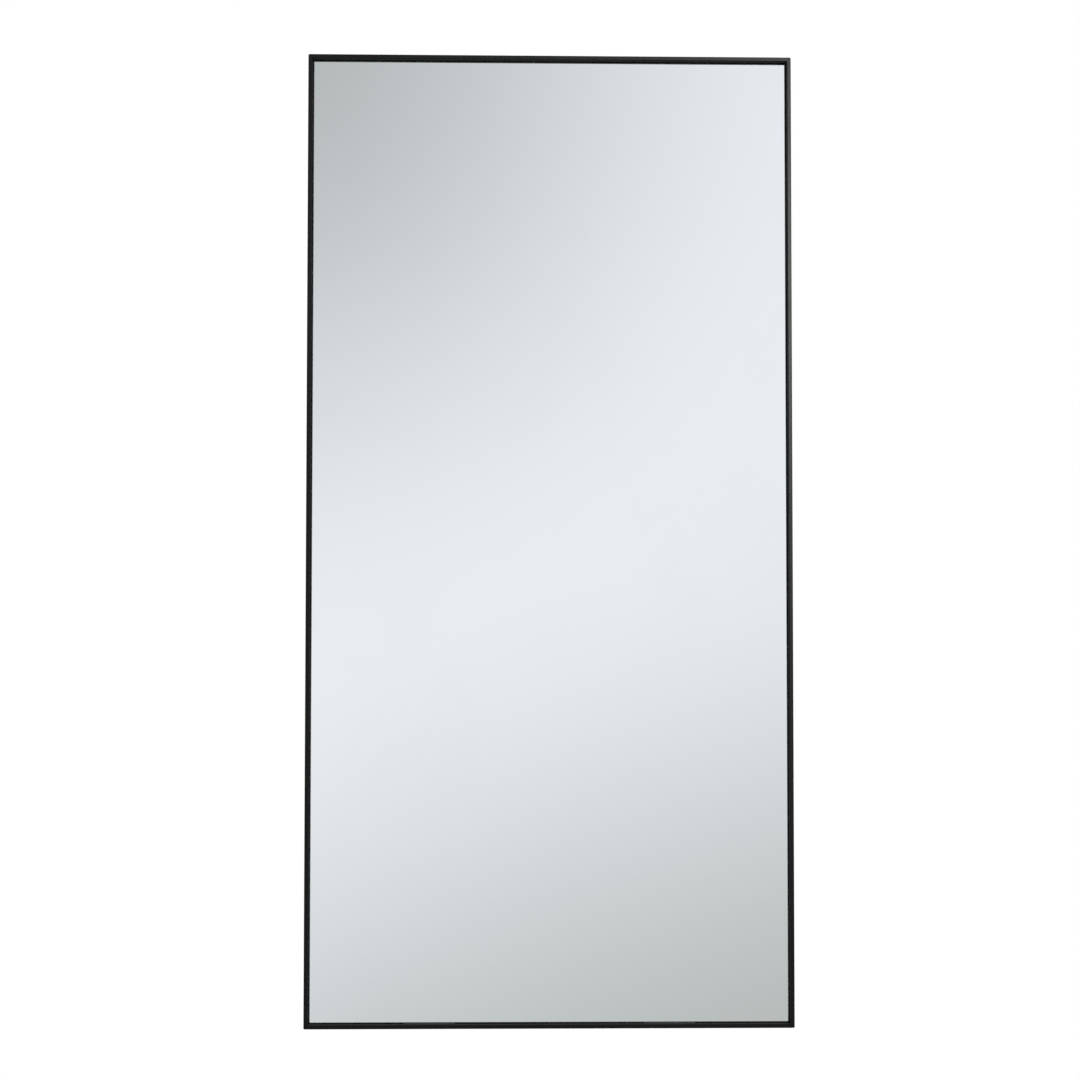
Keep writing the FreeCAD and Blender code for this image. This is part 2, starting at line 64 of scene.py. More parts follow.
# Small helpers for shader trees. A value that is a socket is linked, anything else is set.
def addNode(tree, kind, inputs=None, **settings):
    node = tree.nodes.new(kind)
    for name, value in settings.items():
        setattr(node, name, value)
    for name, value in (inputs or {}).items():
        if isinstance(value, bpy.types.NodeSocket):
            tree.links.new(value, node.inputs[name])
        else:
            node.inputs[name].default_value = value
    return node


def calculate(tree, operation, first, second=0.0):
    return addNode(tree, "ShaderNodeMath", {0: first, 1: second}, operation=operation).outputs[0]


def times(tree, first, second):
    return calculate(tree, "MULTIPLY", first, second)


def plus(tree, first, second):
    return calculate(tree, "ADD", first, second)


def spread(tree, value, low, high, fromLow=0.0, fromHigh=1.0, shape="LINEAR"):
    limits = {"Value": value, "From Min": fromLow, "From Max": fromHigh, "To Min": low, "To Max": high}
    return addNode(tree, "ShaderNodeMapRange", limits, interpolation_type=shape).outputs["Result"]


def toRgba(tone):
    return tone if isinstance(tone, bpy.types.NodeSocket) else (*tone, 1.0)


def blendTones(tree, share, first, second):
    tones = {0: share, 6: toRgba(first), 7: toRgba(second)}
    return addNode(tree, "ShaderNodeMix", tones, data_type="RGBA").outputs[2]


cloudTexture = (4.0, 0.6)               # detail and roughness of the noise in soft clouds


def noise(tree, vector, size, detail=2.0, roughness=0.5, distortion=0.0):
    if isinstance(size, bpy.types.NodeSocket):
        scale = calculate(tree, "DIVIDE", 1.0, size)
    else:
        scale = 1 / size
    wanted = {"Vector": vector, "Scale": scale, "Detail": detail}
    wanted.update({"Roughness": roughness, "Distortion": distortion})
    return addNode(tree, "ShaderNodeTexNoise", wanted).outputs["Fac"]


def stretch(tree, vector, length, turn):    # turned first, then drawn out along the third axis
    wanted = {"Vector": vector, "Scale": (1.0, 1.0, length), "Rotation": turn}
    return addNode(tree, "ShaderNodeMapping", wanted, vector_type="TEXTURE").outputs[0]


def objectPlace(tree):
    return addNode(tree, "ShaderNodeTexCoord").outputs["Object"]


# Effects that several finishes share, each a group built once.
# Limits say where a noise starts to show and where it shows in full.
def newGroup(name, inputs, outputs):
    tree = bpy.data.node_groups.new(name, "ShaderNodeTree")
    for label, value in inputs.items():
        socket = tree.interface.new_socket(label, in_out="INPUT", socket_type="NodeSocketFloat")
        socket.default_value = value
    for label in outputs:
        tree.interface.new_socket(label, in_out="OUTPUT", socket_type="NodeSocketFloat")
    return tree, tree.nodes.new("NodeGroupInput").outputs, tree.nodes.new("NodeGroupOutput").inputs


fineGrain = {
    "peelDetail": 1.5,
    "gritSize": 0.22,                   # as a share of the peel
    "gritTexture": (3.0, 0.65),
}


def makeFineGrain():
    tree, given, made = newGroup("fineGrain", {"Size": 1 * mm, "Grit": 0.3}, ["Height"])
    place = objectPlace(tree)
    peel = noise(tree, place, given["Size"], fineGrain["peelDetail"])
    gritSize = times(tree, given["Size"], fineGrain["gritSize"])
    grit = noise(tree, place, gritSize, *fineGrain["gritTexture"])
    tree.links.new(plus(tree, peel, times(tree, grit, given["Grit"])), made["Height"])
    return tree


handling = {
    "patchTexture": (3.0, 0.55, 0.6),
    "patchLimits": (0.48, 0.72),
    "streakSize": 0.12,                 # as a share of the patch
    "streakLength": 2.8,
    "streakTurn": (0.2, 0.5, 0.3),
    "streakLimits": (0.35, 0.7),
    "faintest": 0.25,
}


def makeHandlingMarks():
    tree, given, made = newGroup("handlingMarks", {"Size": 0.1, "Amount": 1.0}, ["Mask"])
    place = objectPlace(tree)
    cloud = noise(tree, place, given["Size"], *handling["patchTexture"])
    patch = spread(tree, cloud, 0.0, 1.0, *handling["patchLimits"], "SMOOTHSTEP")
    drawn = stretch(tree, place, handling["streakLength"], handling["streakTurn"])
    streak = noise(tree, drawn, times(tree, given["Size"], handling["streakSize"]), *cloudTexture)
    streak = spread(tree, streak, handling["faintest"], 1.0, *handling["streakLimits"])
    tree.links.new(times(tree, times(tree, patch, streak), given["Amount"]), made["Mask"])
    return tree


settled = {
    "slopeLimits": (0.3, 0.95),         # how far a face looks up, from bare to covered
    "cloudSize": 14 * mm,
    "cloudLimits": (0.35, 0.7),
    "cloudLeast": 0.15,
    "speckSize": 0.9 * mm,
    "speckLimits": (0.5, 0.62),
    "speckLeast": 0.4,
}


def makeSettledDust():
    tree, given, made = newGroup("settledDust", {"Amount": 0.3}, ["Mask"])
    normal = addNode(tree, "ShaderNodeNewGeometry").outputs["Normal"]
    upward = addNode(tree, "ShaderNodeSeparateXYZ", {0: normal}).outputs["Z"]
    facing = spread(tree, upward, 0.0, 1.0, *settled["slopeLimits"], "SMOOTHSTEP")
    place = objectPlace(tree)
    cloud = noise(tree, place, settled["cloudSize"], *cloudTexture)
    cloud = spread(tree, cloud, settled["cloudLeast"], 1.0, *settled["cloudLimits"])
    speck = noise(tree, place, settled["speckSize"])
    speck = spread(tree, speck, settled["speckLeast"], 1.0, *settled["speckLimits"])
    layer = times(tree, facing, times(tree, cloud, speck))
    tree.links.new(times(tree, layer, given["Amount"]), made["Mask"])
    return tree


bloomMix = {
    "flakeShare": 0.2,
    "hazeShare": 0.8,
    "hazeSize": 2.6,                    # in flakes, and so are the lines
    "hazeHeight": 0.5,
    "lineSize": 0.08,
    "lineLength": 16.0,                 # times as long as wide
    "lineTurn": (0.0, 0.35, 0.0),
}


def makeZincBloom():
    tree, given, made = newGroup("zincBloom", {"Size": 2 * mm}, ["Tone", "Height"])
    place = objectPlace(tree)
    scale = calculate(tree, "DIVIDE", 1.0, given["Size"])
    cells = addNode(tree, "ShaderNodeTexVoronoi", {"Vector": place, "Scale": scale, "Randomness": 1.0})
    flake = addNode(tree, "ShaderNodeSeparateColor", {0: cells.outputs["Color"]}).outputs[0]
    flakes = times(tree, flake, bloomMix["flakeShare"])
    haze = noise(tree, place, times(tree, given["Size"], bloomMix["hazeSize"]), *cloudTexture)
    tree.links.new(plus(tree, flakes, times(tree, haze, bloomMix["hazeShare"])), made["Tone"])
    drawn = stretch(tree, place, bloomMix["lineLength"], bloomMix["lineTurn"])
    lines = noise(tree, drawn, times(tree, given["Size"], bloomMix["lineSize"]))
    tree.links.new(plus(tree, lines, times(tree, haze, bloomMix["hazeHeight"])), made["Height"])
    return tree


effects = {
    "grain": makeFineGrain(),
    "marks": makeHandlingMarks(),
    "dust": makeSettledDust(),
    "bloom": makeZincBloom(),
}


def addEffect(tree, name, **values):
    node = tree.nodes.new("ShaderNodeGroup")
    node.node_tree = effects[name]
    for label, value in values.items():
        node.inputs[label].default_value = value
    return node.outputs


print("effects made:", ", ".join(effects))


# Finishes. Each has its own dictionary of tones and sizes.
def newFinish(name, **fixed):
    material = bpy.data.materials.new(name)
    material.use_nodes = True
    shader = material.node_tree.nodes["Principled BSDF"]
    for label, value in fixed.items():
        shader.inputs[label.replace("_", " ")].default_value = value
    return material, material.node_tree, shader


def feed(tree, shader, **values):
    for label, socket in values.items():
        tree.links.new(socket, shader.inputs[label.replace("_", " ")])


def roughen(tree, shader, height, depth, strength=1.0):
    bump = addNode(tree, "ShaderNodeBump", {"Height": height, "Distance": depth, "Strength": strength})
    tree.links.new(bump.outputs["Normal"], shader.inputs["Normal"])


coat = {
    "deep": (0.0024, 0.0024, 0.0027),
    "gloss": 0.125,
    "roughness": (0.34, 0.42),
    "markSize": 160 * mm,
    "worn": (0.0052, 0.0052, 0.0055),   # rounded edges, rubbed a little paler
    "wornShare": 0.5,
    "wornPatch": 22 * mm,
    "wornLimits": (0.45, 0.75),
    "edgeRoughness": 0.82,              # rubbed edges lose their sheen
    "edgePeel": 0.2,                    # and most of their peel
    "peelSize": 0.9 * mm,
    "peelGrit": 0.25,
    "peelDepth": 0.03 * mm,
    "dust": (0.16, 0.155, 0.145),
    "dustShare": 0.07,
}
recess = {                              # powder lies thin and dry on the inner walls, so they are rougher; their paler tone is painted light
    # painted light: the inner walls are paler than the face of the same black coat, for the light they catch
    "deep": (0.018, 0.018, 0.0185),
    "gloss": 0.1,
    "roughness": (0.66, 0.8),
    "peelDepth": 0.005 * mm,
}


def makeFrameCoat(name, powder):
    material, tree, shader = newFinish(name, Specular_IOR_Level=powder["gloss"])
    edge = addNode(tree, "ShaderNodeAttribute", attribute_name="edge").outputs["Fac"]
    cloud = noise(tree, objectPlace(tree), coat["wornPatch"], *cloudTexture)
    patch = spread(tree, cloud, 0.0, coat["wornShare"], *coat["wornLimits"])
    # the coat's own black, or on the inner walls a paler tone that is painted light
    rubbed = blendTones(tree, times(tree, edge, patch), powder["deep"], coat["worn"])
    dust = addEffect(tree, "dust", Amount=coat["dustShare"])["Mask"]
    feed(tree, shader, Base_Color=blendTones(tree, dust, rubbed, coat["dust"]))
    marks = addEffect(tree, "marks", Size=coat["markSize"], Amount=1.0)["Mask"]
    sheen = spread(tree, marks, *powder["roughness"])
    feed(tree, shader, Roughness=spread(tree, edge, sheen, coat["edgeRoughness"]))
    grain = addEffect(tree, "grain", Size=coat["peelSize"], Grit=coat["peelGrit"])["Height"]
    peel = times(tree, grain, spread(tree, edge, 1.0, coat["edgePeel"]))
    roughen(tree, shader, peel, powder["peelDepth"])
    return material


silver = {
    "tone": (0.915, 0.925, 0.92),
    "smear": (0.895, 0.91, 0.905),
    "smearSize": 280 * mm,
    "roughness": (0.004, 0.02),
    "waveSize": 350 * mm,               # slow unevenness of float glass
    "waveDetail": 1.0,
    "waveDepth": 0.012 * mm,
}


def makeMirrorFace():
    material, tree, shader = newFinish("mirrorFace", Metallic=1.0)
    marks = addEffect(tree, "marks", Size=silver["smearSize"], Amount=1.0)["Mask"]
    feed(tree, shader, Base_Color=blendTones(tree, marks, silver["tone"], silver["smear"]))
    feed(tree, shader, Roughness=spread(tree, marks, *silver["roughness"]))
    wave = noise(tree, objectPlace(tree), silver["waveSize"], silver["waveDetail"])
    roughen(tree, shader, wave, silver["waveDepth"])
    return material


groundGlass = {
    "arris": {"tones": ((0.32, 0.352, 0.343), (0.46, 0.492, 0.482)), "roughness": (0.25, 0.4)},
    "glassEdge": {"tones": ((0.20, 0.34, 0.30), (0.34, 0.50, 0.45)), "roughness": (0.3, 0.5)},
    "bend": 1.52,
    "cloudSize": 6 * mm,
    "grainSize": 0.35 * mm,
    "grainGrit": 0.5,
    "grainDepth": 0.015 * mm,
}


def makeGroundGlass(name):
    material, tree, shader = newFinish(name, IOR=groundGlass["bend"])
    cloud = noise(tree, objectPlace(tree), groundGlass["cloudSize"], *cloudTexture)
    feed(tree, shader, Base_Color=blendTones(tree, cloud, *groundGlass[name]["tones"]))
    feed(tree, shader, Roughness=spread(tree, cloud, *groundGlass[name]["roughness"]))
    grain = addEffect(tree, "grain", Size=groundGlass["grainSize"], Grit=groundGlass["grainGrit"])["Height"]
    roughen(tree, shader, grain, groundGlass["grainDepth"])
    return material


board = {
    "gloss": 0.3,
    "roughness": (0.58, 0.76),
    "ground": (0.315, 0.205, 0.120),
    "pale": (0.43, 0.298, 0.185),
    "dark": (0.165, 0.098, 0.052),
    "cloud": {"size": 160 * mm, "texture": (4.0, 0.55), "share": (0.1, 0.5), "limits": (0.35, 0.65)},
    "mottle": {"size": 5 * mm, "texture": (4.0, 0.65), "share": (0.0, 0.32), "limits": (0.45, 0.75)},
    "bark": {"size": 1.3 * mm, "texture": (2.0, 0.5), "share": (0.0, 0.75), "limits": (0.68, 0.74)},
    "fibre": {"size": 0.8 * mm, "texture": (2.0, 0.5, 0.4), "share": (0.0, 1.0), "limits": (0.54, 0.72)},
    "fibreLength": 13,                  # times as long as thick
    "fibreTurns": (0.25, 0.95, 1.7, 2.55),
    "fibreTone": 0.42,
    "fibreDepth": 0.06 * mm,
    "fibreStrength": 0.7,
    "grainSize": 0.7 * mm,
    "grainGrit": 0.6,
}


def boardLayer(tree, name, place):
    layer = board[name]
    texture = noise(tree, place, layer["size"], *layer["texture"])
    return spread(tree, texture, *layer["share"], *layer["limits"])


def makeFibreboard():
    material, tree, shader = newFinish("fibreboard", Specular_IOR_Level=board["gloss"])
    place = objectPlace(tree)
    fibre = 0.0
    for turn in board["fibreTurns"]:    # fibres lie every way in the plane of the sheet
        run = stretch(tree, place, board["fibreLength"], (0.0, turn, 0.0))
        fibre = calculate(tree, "MAXIMUM", fibre, boardLayer(tree, "fibre", run))
    tone = blendTones(tree, boardLayer(tree, "cloud", place), board["ground"], board["pale"])
    tone = blendTones(tree, boardLayer(tree, "mottle", place), tone, board["dark"])
    tone = blendTones(tree, times(tree, fibre, board["fibreTone"]), tone, board["pale"])
    tone = blendTones(tree, boardLayer(tree, "bark", place), tone, board["dark"])
    feed(tree, shader, Base_Color=tone, Roughness=spread(tree, fibre, *board["roughness"]))
    grain = addEffect(tree, "grain", Size=board["grainSize"], Grit=board["grainGrit"])["Height"]
    roughen(tree, shader, plus(tree, fibre, grain), board["fibreDepth"], board["fibreStrength"])
    return material


zinc = {
    "pale": (0.70, 0.715, 0.74),
    "grey": (0.50, 0.52, 0.545),
    "bloomRoughness": 0.7,              # share of the bloom in an uneven sheen, beside the marks
    "markSize": 12 * mm,
    "lineDepth": 0.012 * mm,
    "zincSheet": {"bloomSize": 2.2 * mm, "roughness": (0.24, 0.42)},
    "zincWire": {"bloomSize": 1.5 * mm, "roughness": (0.18, 0.34)},
    "zincScrew": {"bloomSize": 1.0 * mm, "roughness": (0.22, 0.4)},
}


def makeZinc(name):
    material, tree, shader = newFinish(name, Metallic=1.0)
    bloom = addEffect(tree, "bloom", Size=zinc[name]["bloomSize"])
    marks = addEffect(tree, "marks", Size=zinc["markSize"], Amount=1.0)["Mask"]
    feed(tree, shader, Base_Color=blendTones(tree, bloom["Tone"], zinc["grey"], zinc["pale"]))
    uneven = plus(tree, times(tree, bloom["Tone"], zinc["bloomRoughness"]), marks)
    feed(tree, shader, Roughness=spread(tree, uneven, *zinc[name]["roughness"]))
    roughen(tree, shader, bloom["Height"], zinc["lineDepth"])
    return material


blackened = {
    "deep": (0.022, 0.022, 0.024),
    "bare": (0.11, 0.11, 0.115),
    "metallic": 0.85,
    "roughness": (0.30, 0.5),
    "markSize": 5 * mm,
    "markAmount": 0.6,
    "grainSize": 0.4 * mm,
    "grainGrit": 0.4,
    "grainDepth": 0.01 * mm,
}


def makeBlackScrew():
    material, tree, shader = newFinish("blackScrew", Metallic=blackened["metallic"])
    marks = addEffect(tree, "marks", Size=blackened["markSize"], Amount=blackened["markAmount"])["Mask"]
    feed(tree, shader, Base_Color=blendTones(tree, marks, blackened["deep"], blackened["bare"]))
    feed(tree, shader, Roughness=spread(tree, marks, *blackened["roughness"]))
    grain = addEffect(tree, "grain", Size=blackened["grainSize"], Grit=blackened["grainGrit"])["Height"]
    roughen(tree, shader, grain, blackened["grainDepth"])
    return material


rubber = {
    "black": (0.016, 0.016, 0.017),
    "bloom": (0.045, 0.045, 0.047),
    "dust": (0.20, 0.195, 0.185),
    "dustShare": 0.35,
    "gloss": 0.4,
    "roughness": (0.62, 0.85),
    "cloudSize": 5 * mm,
    "grainSize": 0.5 * mm,
    "grainGrit": 0.8,
    "grainDepth": 0.03 * mm,
}


def makeRubber():
    material, tree, shader = newFinish("bumperRubber", Specular_IOR_Level=rubber["gloss"])
    cloud = noise(tree, objectPlace(tree), rubber["cloudSize"], *cloudTexture)
    dust = addEffect(tree, "dust", Amount=rubber["dustShare"])["Mask"]
    ground = blendTones(tree, cloud, rubber["black"], rubber["bloom"])
    feed(tree, shader, Base_Color=blendTones(tree, dust, ground, rubber["dust"]))
    feed(tree, shader, Roughness=spread(tree, cloud, *rubber["roughness"]))
    grain = addEffect(tree, "grain", Size=rubber["grainSize"], Grit=rubber["grainGrit"])["Height"]
    roughen(tree, shader, grain, rubber["grainDepth"])
    return material


sheetGrit = 0.5
sheets = {                              # plain, a little cloudy and finely grained
    "backPaint": {
        "tones": ((0.13, 0.14, 0.145), (0.2, 0.21, 0.215)), "cloudSize": 30 * mm,
        "roughness": (0.5, 0.65), "grainSize": 0.8 * mm, "grainDepth": 0.02 * mm, "metallic": 0.0,
    },
    "safetyFilm": {
        "tones": ((0.5, 0.53, 0.56), (0.62, 0.65, 0.68)), "cloudSize": 60 * mm,
        "roughness": (0.25, 0.4), "grainSize": 2.5 * mm, "grainDepth": 0.03 * mm, "metallic": 0.0,
    },
    "foamTape": {
        "tones": ((0.62, 0.62, 0.6), (0.78, 0.78, 0.76)), "cloudSize": 4 * mm,
        "roughness": (0.8, 0.95), "grainSize": 0.5 * mm, "grainDepth": 0.1 * mm, "metallic": 0.0,
    },
    "castKey": {
        "tones": ((0.42, 0.43, 0.44), (0.58, 0.59, 0.6)), "cloudSize": 8 * mm,
        "roughness": (0.35, 0.55), "grainSize": 0.6 * mm, "grainDepth": 0.04 * mm, "metallic": 1.0,
    },
    "millMetal": {
        "tones": ((0.5, 0.51, 0.52), (0.63, 0.64, 0.65)), "cloudSize": 20 * mm,
        "roughness": (0.3, 0.46), "grainSize": 1.2 * mm, "grainDepth": 0.02 * mm, "metallic": 1.0,
    },
}


def makePlainSheet(name):
    sheet = sheets[name]
    material, tree, shader = newFinish(name, Metallic=sheet["metallic"])
    cloud = noise(tree, objectPlace(tree), sheet["cloudSize"], *cloudTexture)
    feed(tree, shader, Base_Color=blendTones(tree, cloud, *sheet["tones"]))
    feed(tree, shader, Roughness=spread(tree, cloud, *sheet["roughness"]))
    grain = addEffect(tree, "grain", Size=sheet["grainSize"], Grit=sheetGrit)["Height"]
    roughen(tree, shader, grain, sheet["grainDepth"])
    return material


finishes = {
    "frameCoat": makeFrameCoat("frameCoat", coat),
    # the inner walls take a copy of the frame coat whose paler tone is painted light
    "recessCoatPaintedLight": makeFrameCoat("recessCoatPaintedLight", recess),
    "mirrorFace": makeMirrorFace(),
    "arris": makeGroundGlass("arris"),
    "glassEdge": makeGroundGlass("glassEdge"),
    "fibreboard": makeFibreboard(),
    "zincSheet": makeZinc("zincSheet"),
    "zincWire": makeZinc("zincWire"),
    "zincScrew": makeZinc("zincScrew"),
    "blackScrew": makeBlackScrew(),
    "rubber": makeRubber(),
}
finishes.update({name: makePlainSheet(name) for name in sheets})
print("finishes made:", len(finishes))


# CAD nodes that keep their own shape and only take a finish.
nodeFinishes = {
    "back_panel": "fibreboard",
    "safety_film": "safetyFilm",
    "mounting_tape": "foamTape",
    "setting_blocks": "rubber",
    "corner_key_screws": "zincScrew",
    "corner_key_": "castKey",
    "hanger_strap_": "zincSheet",
    "hanger_ring_": "zincWire",
}
strapEdge = {                           # sheared edges are tumbled a little blunt
    "width": 0.16 * mm,
    "segments": 2,
    "leastAngle": 40,                   # degrees
}
for node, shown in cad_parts.items():
    for start, finish in nodeFinishes.items():
        if node.startswith(start):
            shown.material_slots[0].material = finishes[finish]
            break
    if node.startswith("hanger_strap_"):
        blunt = shown.modifiers.new("bluntEdges", "BEVEL")
        blunt.width = strapEdge["width"]
        blunt.segments = strapEdge["segments"]
        blunt.limit_method = "ANGLE"
        blunt.angle_limit = math.radians(strapEdge["leastAngle"])
        blunt.harden_normals = True

creaseAngle = 32                        # degrees; steeper folds between faces stay sharp


def newPiece(name, bm, materials, slot, *nodes, flat=()):
    mesh = bpy.data.meshes.new(name)
    bm.to_mesh(mesh)
    bm.free()
    piece = bpy.data.objects.new(name, mesh)
    bpy.context.scene.collection.objects.link(piece)
    for material in materials:
        mesh.materials.append(finishes[material])
    mesh.set_sharp_from_angle(angle=math.radians(creaseAngle))
    mesh.polygons.foreach_set("use_smooth", [face.material_index not in flat for face in mesh.polygons])
    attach(piece, wholeBody)
    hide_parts(*nodes)
    return piece


# Frame members: the section runs along each side and ends at the mitre in a fine ground seam.
rail = {
    "edgeRadius": 0.8 * mm,
    "tipRadius": 0.3 * mm,
    "cornerRadius": 2.2 * mm,           # outside corners are ground round
    "arcSteps": 6,
    "flatHold": 0.25 * mm,              # narrow strip beside a rounding that keeps the flat flat
    "seamWidth": 0.17 * mm,
    "seamDepth": 0.13 * mm,
    "wall": 1.2 * mm,                   # round the hollow behind the face
}
# the second finish is the inner walls' copy of the coat, with painted light in its paler tone
railFinishes = ["frameCoat", "recessCoatPaintedLight", "millMetal"]
coated, recessed, sawn = range(3)       # their places in that list
low, high = cadBox
glassLow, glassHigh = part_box("mirror_glass")
outer = {
    "width": high.x - low.x,
    "height": high.z - low.z,
    "front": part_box("bottom_rail")[0].y,
    "rear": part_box("bottom_rail")[1].y,
    "face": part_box("setting_blocks")[0].z,      # the blocks stand on the inner wall of the bottom rail
    "flangeTip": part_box("bottom_rail")[1].z,
    "flangeFront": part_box("back_panel")[1].y,
}


def railSection():
    corners = [                         # inward, depth, radius and finish of the flat that follows
        (0.0, outer["rear"], rail["edgeRadius"], coated),
        (0.0, outer["front"], rail["edgeRadius"], coated),
        (outer["face"], outer["front"], rail["edgeRadius"], recessed),
        (outer["face"], outer["flangeFront"], 0.0, recessed),
        (outer["flangeTip"], outer["flangeFront"], rail["tipRadius"], coated),
        (outer["flangeTip"], outer["rear"], rail["tipRadius"], coated),
    ]
    points = []                         # place, outward direction, edge mask and finish
    for i, (inward, depth, radius, finish) in enumerate(corners):
        corner = Vector((inward, depth))
        before = (Vector(corners[i - 1][:2]) - corner).normalized()
        after = (Vector(corners[(i + 1) % len(corners)][:2]) - corner).normalized()
        if radius == 0:
            points.append((corner, (before + after).normalized(), 0.0, finish))
            continue
        centre = corner + radius * (before + after)
        points.append((corner + (radius + rail["flatHold"]) * before, -after, 0.0, coated))
        for step in range(rail["arcSteps"] + 1):
            angle = math.radians(90) * step / rail["arcSteps"]
            outward = -(after * math.cos(angle) + before * math.sin(angle))
            points.append((centre + radius * outward, outward, 1.0, coated))
        points.append((corner + (radius + rail["flatHold"]) * after, -before, 0.0, finish))
    return points


def railEnd(place, outward):            # from the sunk line of the mitre to the straight of the member
    inward, depth = place
    rounding = max(rail["cornerRadius"] - inward, 0.0)
    mitreAngle = math.radians(45)
    mitre = inward
    if rounding:
        mitre = rail["cornerRadius"] - rounding * math.sin(mitreAngle)
    sunk = mitre - outward.x * rail["seamDepth"]
    line = [(sunk, sunk, depth - outward.y * rail["seamDepth"])]
    for step in range(rail["arcSteps"] + 1):
        share = 1 - step / rail["arcSteps"]
        if rounding:
            angle = (mitreAngle - rail["seamWidth"] / rounding) * share
            along = rail["cornerRadius"] - rounding * math.sin(angle)
            across = rail["cornerRadius"] - rounding * math.cos(angle)
        else:
            along = inward + rail["seamWidth"] + rail["cornerRadius"] * (1 - share)
            across = inward
        line.append((along, across, depth))
    return line


def railHollow():                       # corners of the chamber that takes the corner keys
    near, far = rail["wall"], outer["face"] - rail["wall"]
    front, rear = outer["front"] + rail["wall"], outer["flangeFront"]
    return [(near, front), (far, front), (far, rear), (near, rear)]


sides = {
    "bottom_rail": lambda along, inward, depth: (low.x + along, depth, low.z + inward),
    "top_rail": lambda along, inward, depth: (low.x + along, depth, high.z - inward),
    "left_stile": lambda along, inward, depth: (low.x + inward, depth, low.z + along),
    "right_stile": lambda along, inward, depth: (high.x - inward, depth, low.z + along),
}


def makeRail(node):
    length = outer["height"] if "stile" in node else outer["width"]
    bm = bmesh.new()
    edge = bm.verts.layers.float.new("edge")
    rows = []
    section = railSection()
    for place, outward, mask, _ in section:
        first = railEnd(place, outward)
        last = [(length - along, across, depth) for along, across, depth in reversed(first)]
        row = [bm.verts.new(sides[node](*spot)) for spot in first + last]
        for vert in row:
            vert[edge] = mask
        rows.append(row)
    for row, following, (*_, finish) in zip(rows, rows[1:] + rows[:1], section):
        for j in range(len(row) - 1):
            bm.faces.new((row[j], row[j + 1], following[j + 1], following[j])).material_index = finish
    hollow = []
    for inward, depth in railHollow():
        ends = (inward, length - inward)
        hollow.append([bm.verts.new(sides[node](along, inward, depth)) for along in ends])
    for row, following in zip(hollow, hollow[1:] + hollow[:1]):
        bm.faces.new((row[0], row[1], following[1], following[0])).material_index = sawn
    for end in (0, -1):                 # the saw leaves bare metal at each mitre
        rim = {row[end] for row in rows + hollow}
        cut = [line for line in bm.edges if line.is_boundary and rim.issuperset(line.verts)]
        for made in bmesh.ops.triangle_fill(bm, edges=cut)["geom"]:
            if isinstance(made, bmesh.types.BMFace):
                made.material_index = sawn
    bmesh.ops.recalc_face_normals(bm, faces=bm.faces)
    return newPiece(node + "_coated", bm, railFinishes, "frame_coat", node)


for node in sides:
    makeRail(node)
print("frame members made:", len(sides))


# Mirror pane: silvered face, ground arris, seamed edge and painted back.
pane = {
    "frontArris": 1.2 * mm,
    "backArris": 0.6 * mm,
    "soften": 0.12 * mm,
    "cornerNip": 1.2 * mm,
}
paneFinishes = ["mirrorFace", "arris", "glassEdge", "backPaint"]
silvered, ground, seamed, painted = range(4)    # their places in that list


def paneLoop(bm, inset, depth):
    left, right = glassLow.x + inset, glassHigh.x - inset
    foot, head = glassLow.z + inset, glassHigh.z - inset
    nip = pane["cornerNip"] - inset * (2 - math.sqrt(2))
    spots = [
        (left + nip, foot), (right - nip, foot), (right, foot + nip), (right, head - nip),
        (right - nip, head), (left + nip, head), (left, head - nip), (left, foot + nip),
    ]
    return [bm.verts.new((x, depth, z)) for x, z in spots]


def makePane():
    near, far = glassLow.y, glassHigh.y
    front, back, soft = pane["frontArris"], pane["backArris"], pane["soften"]
    steps = [                           # inset, depth and finish of the strip that follows
        (front + soft, near, ground),
        (front - soft, near + soft, ground),
        (soft, near + front - soft, ground),
        (0.0, near + front + soft, seamed),
        (0.0, far - back, seamed),
        (back, far, painted),
    ]
    bm = bmesh.new()
    loops = [paneLoop(bm, inset, depth) for inset, depth, _ in steps]
    for (*_, finish), loop, following in zip(steps, loops, loops[1:]):
        for j in range(len(loop)):
            k = (j + 1) % len(loop)
            bm.faces.new((loop[j], loop[k], following[k], following[j])).material_index = finish
    bm.faces.new(loops[0]).material_index = silvered
    bm.faces.new(loops[-1]).material_index = painted
    bmesh.ops.recalc_face_normals(bm, faces=bm.faces)
    return newPiece("mirror_pane", bm, paneFinishes, "mirror", "mirror_glass", flat=(silvered, painted))


mirrorPane = makePane()
print("mirror pane made")


# Pan-head screws with a cross recess and a rolled thread, set where the CAD screws sit.
screw = {
    "headHeight": 1.9 * mm,
    "dome": [                           # radius and height of the head's rings, as shares of the head
        (0.42, 0.985), (0.66, 0.90), (0.84, 0.74), (0.95, 0.50), (1.0, 0.24), (1.0, 0.06), (0.97, 0.0),
    ],
    "shankRadius": 1.75 * mm,
    "coreRadius": 1.25 * mm,
    "pitch": 1.35 * mm,
    "turnRings": 4,                     # to one turn of the thread
    "threadSlope": 3.2,
    "tip": [                            # share of the core, turns before the point, share of the thread
        (0.8, 1, 0.4), (0.2, 0, 0.0),
    ],
    "around": 32,
    "crossReach": 2.15 * mm,
    "crossWidth": 0.95 * mm,
    "crossDepth": 1.35 * mm,
    "crossTaper": 0.62,                 # width of the recess at its floor, as a share of the mouth
    "cutterTop": 1.2,                   # in head heights, clear of the dome
    "pitRadius": 0.82 * mm,             # round pit where the arms of the cross meet
    "pitDepth": 1.1,                    # in depths of the cross
    "pitAround": 20,
    "stopStep": 37,                     # degrees; no two neighbours stop at the same angle
}
weldReach = 0.002 * mm                  # corners of CAD faces this close are one


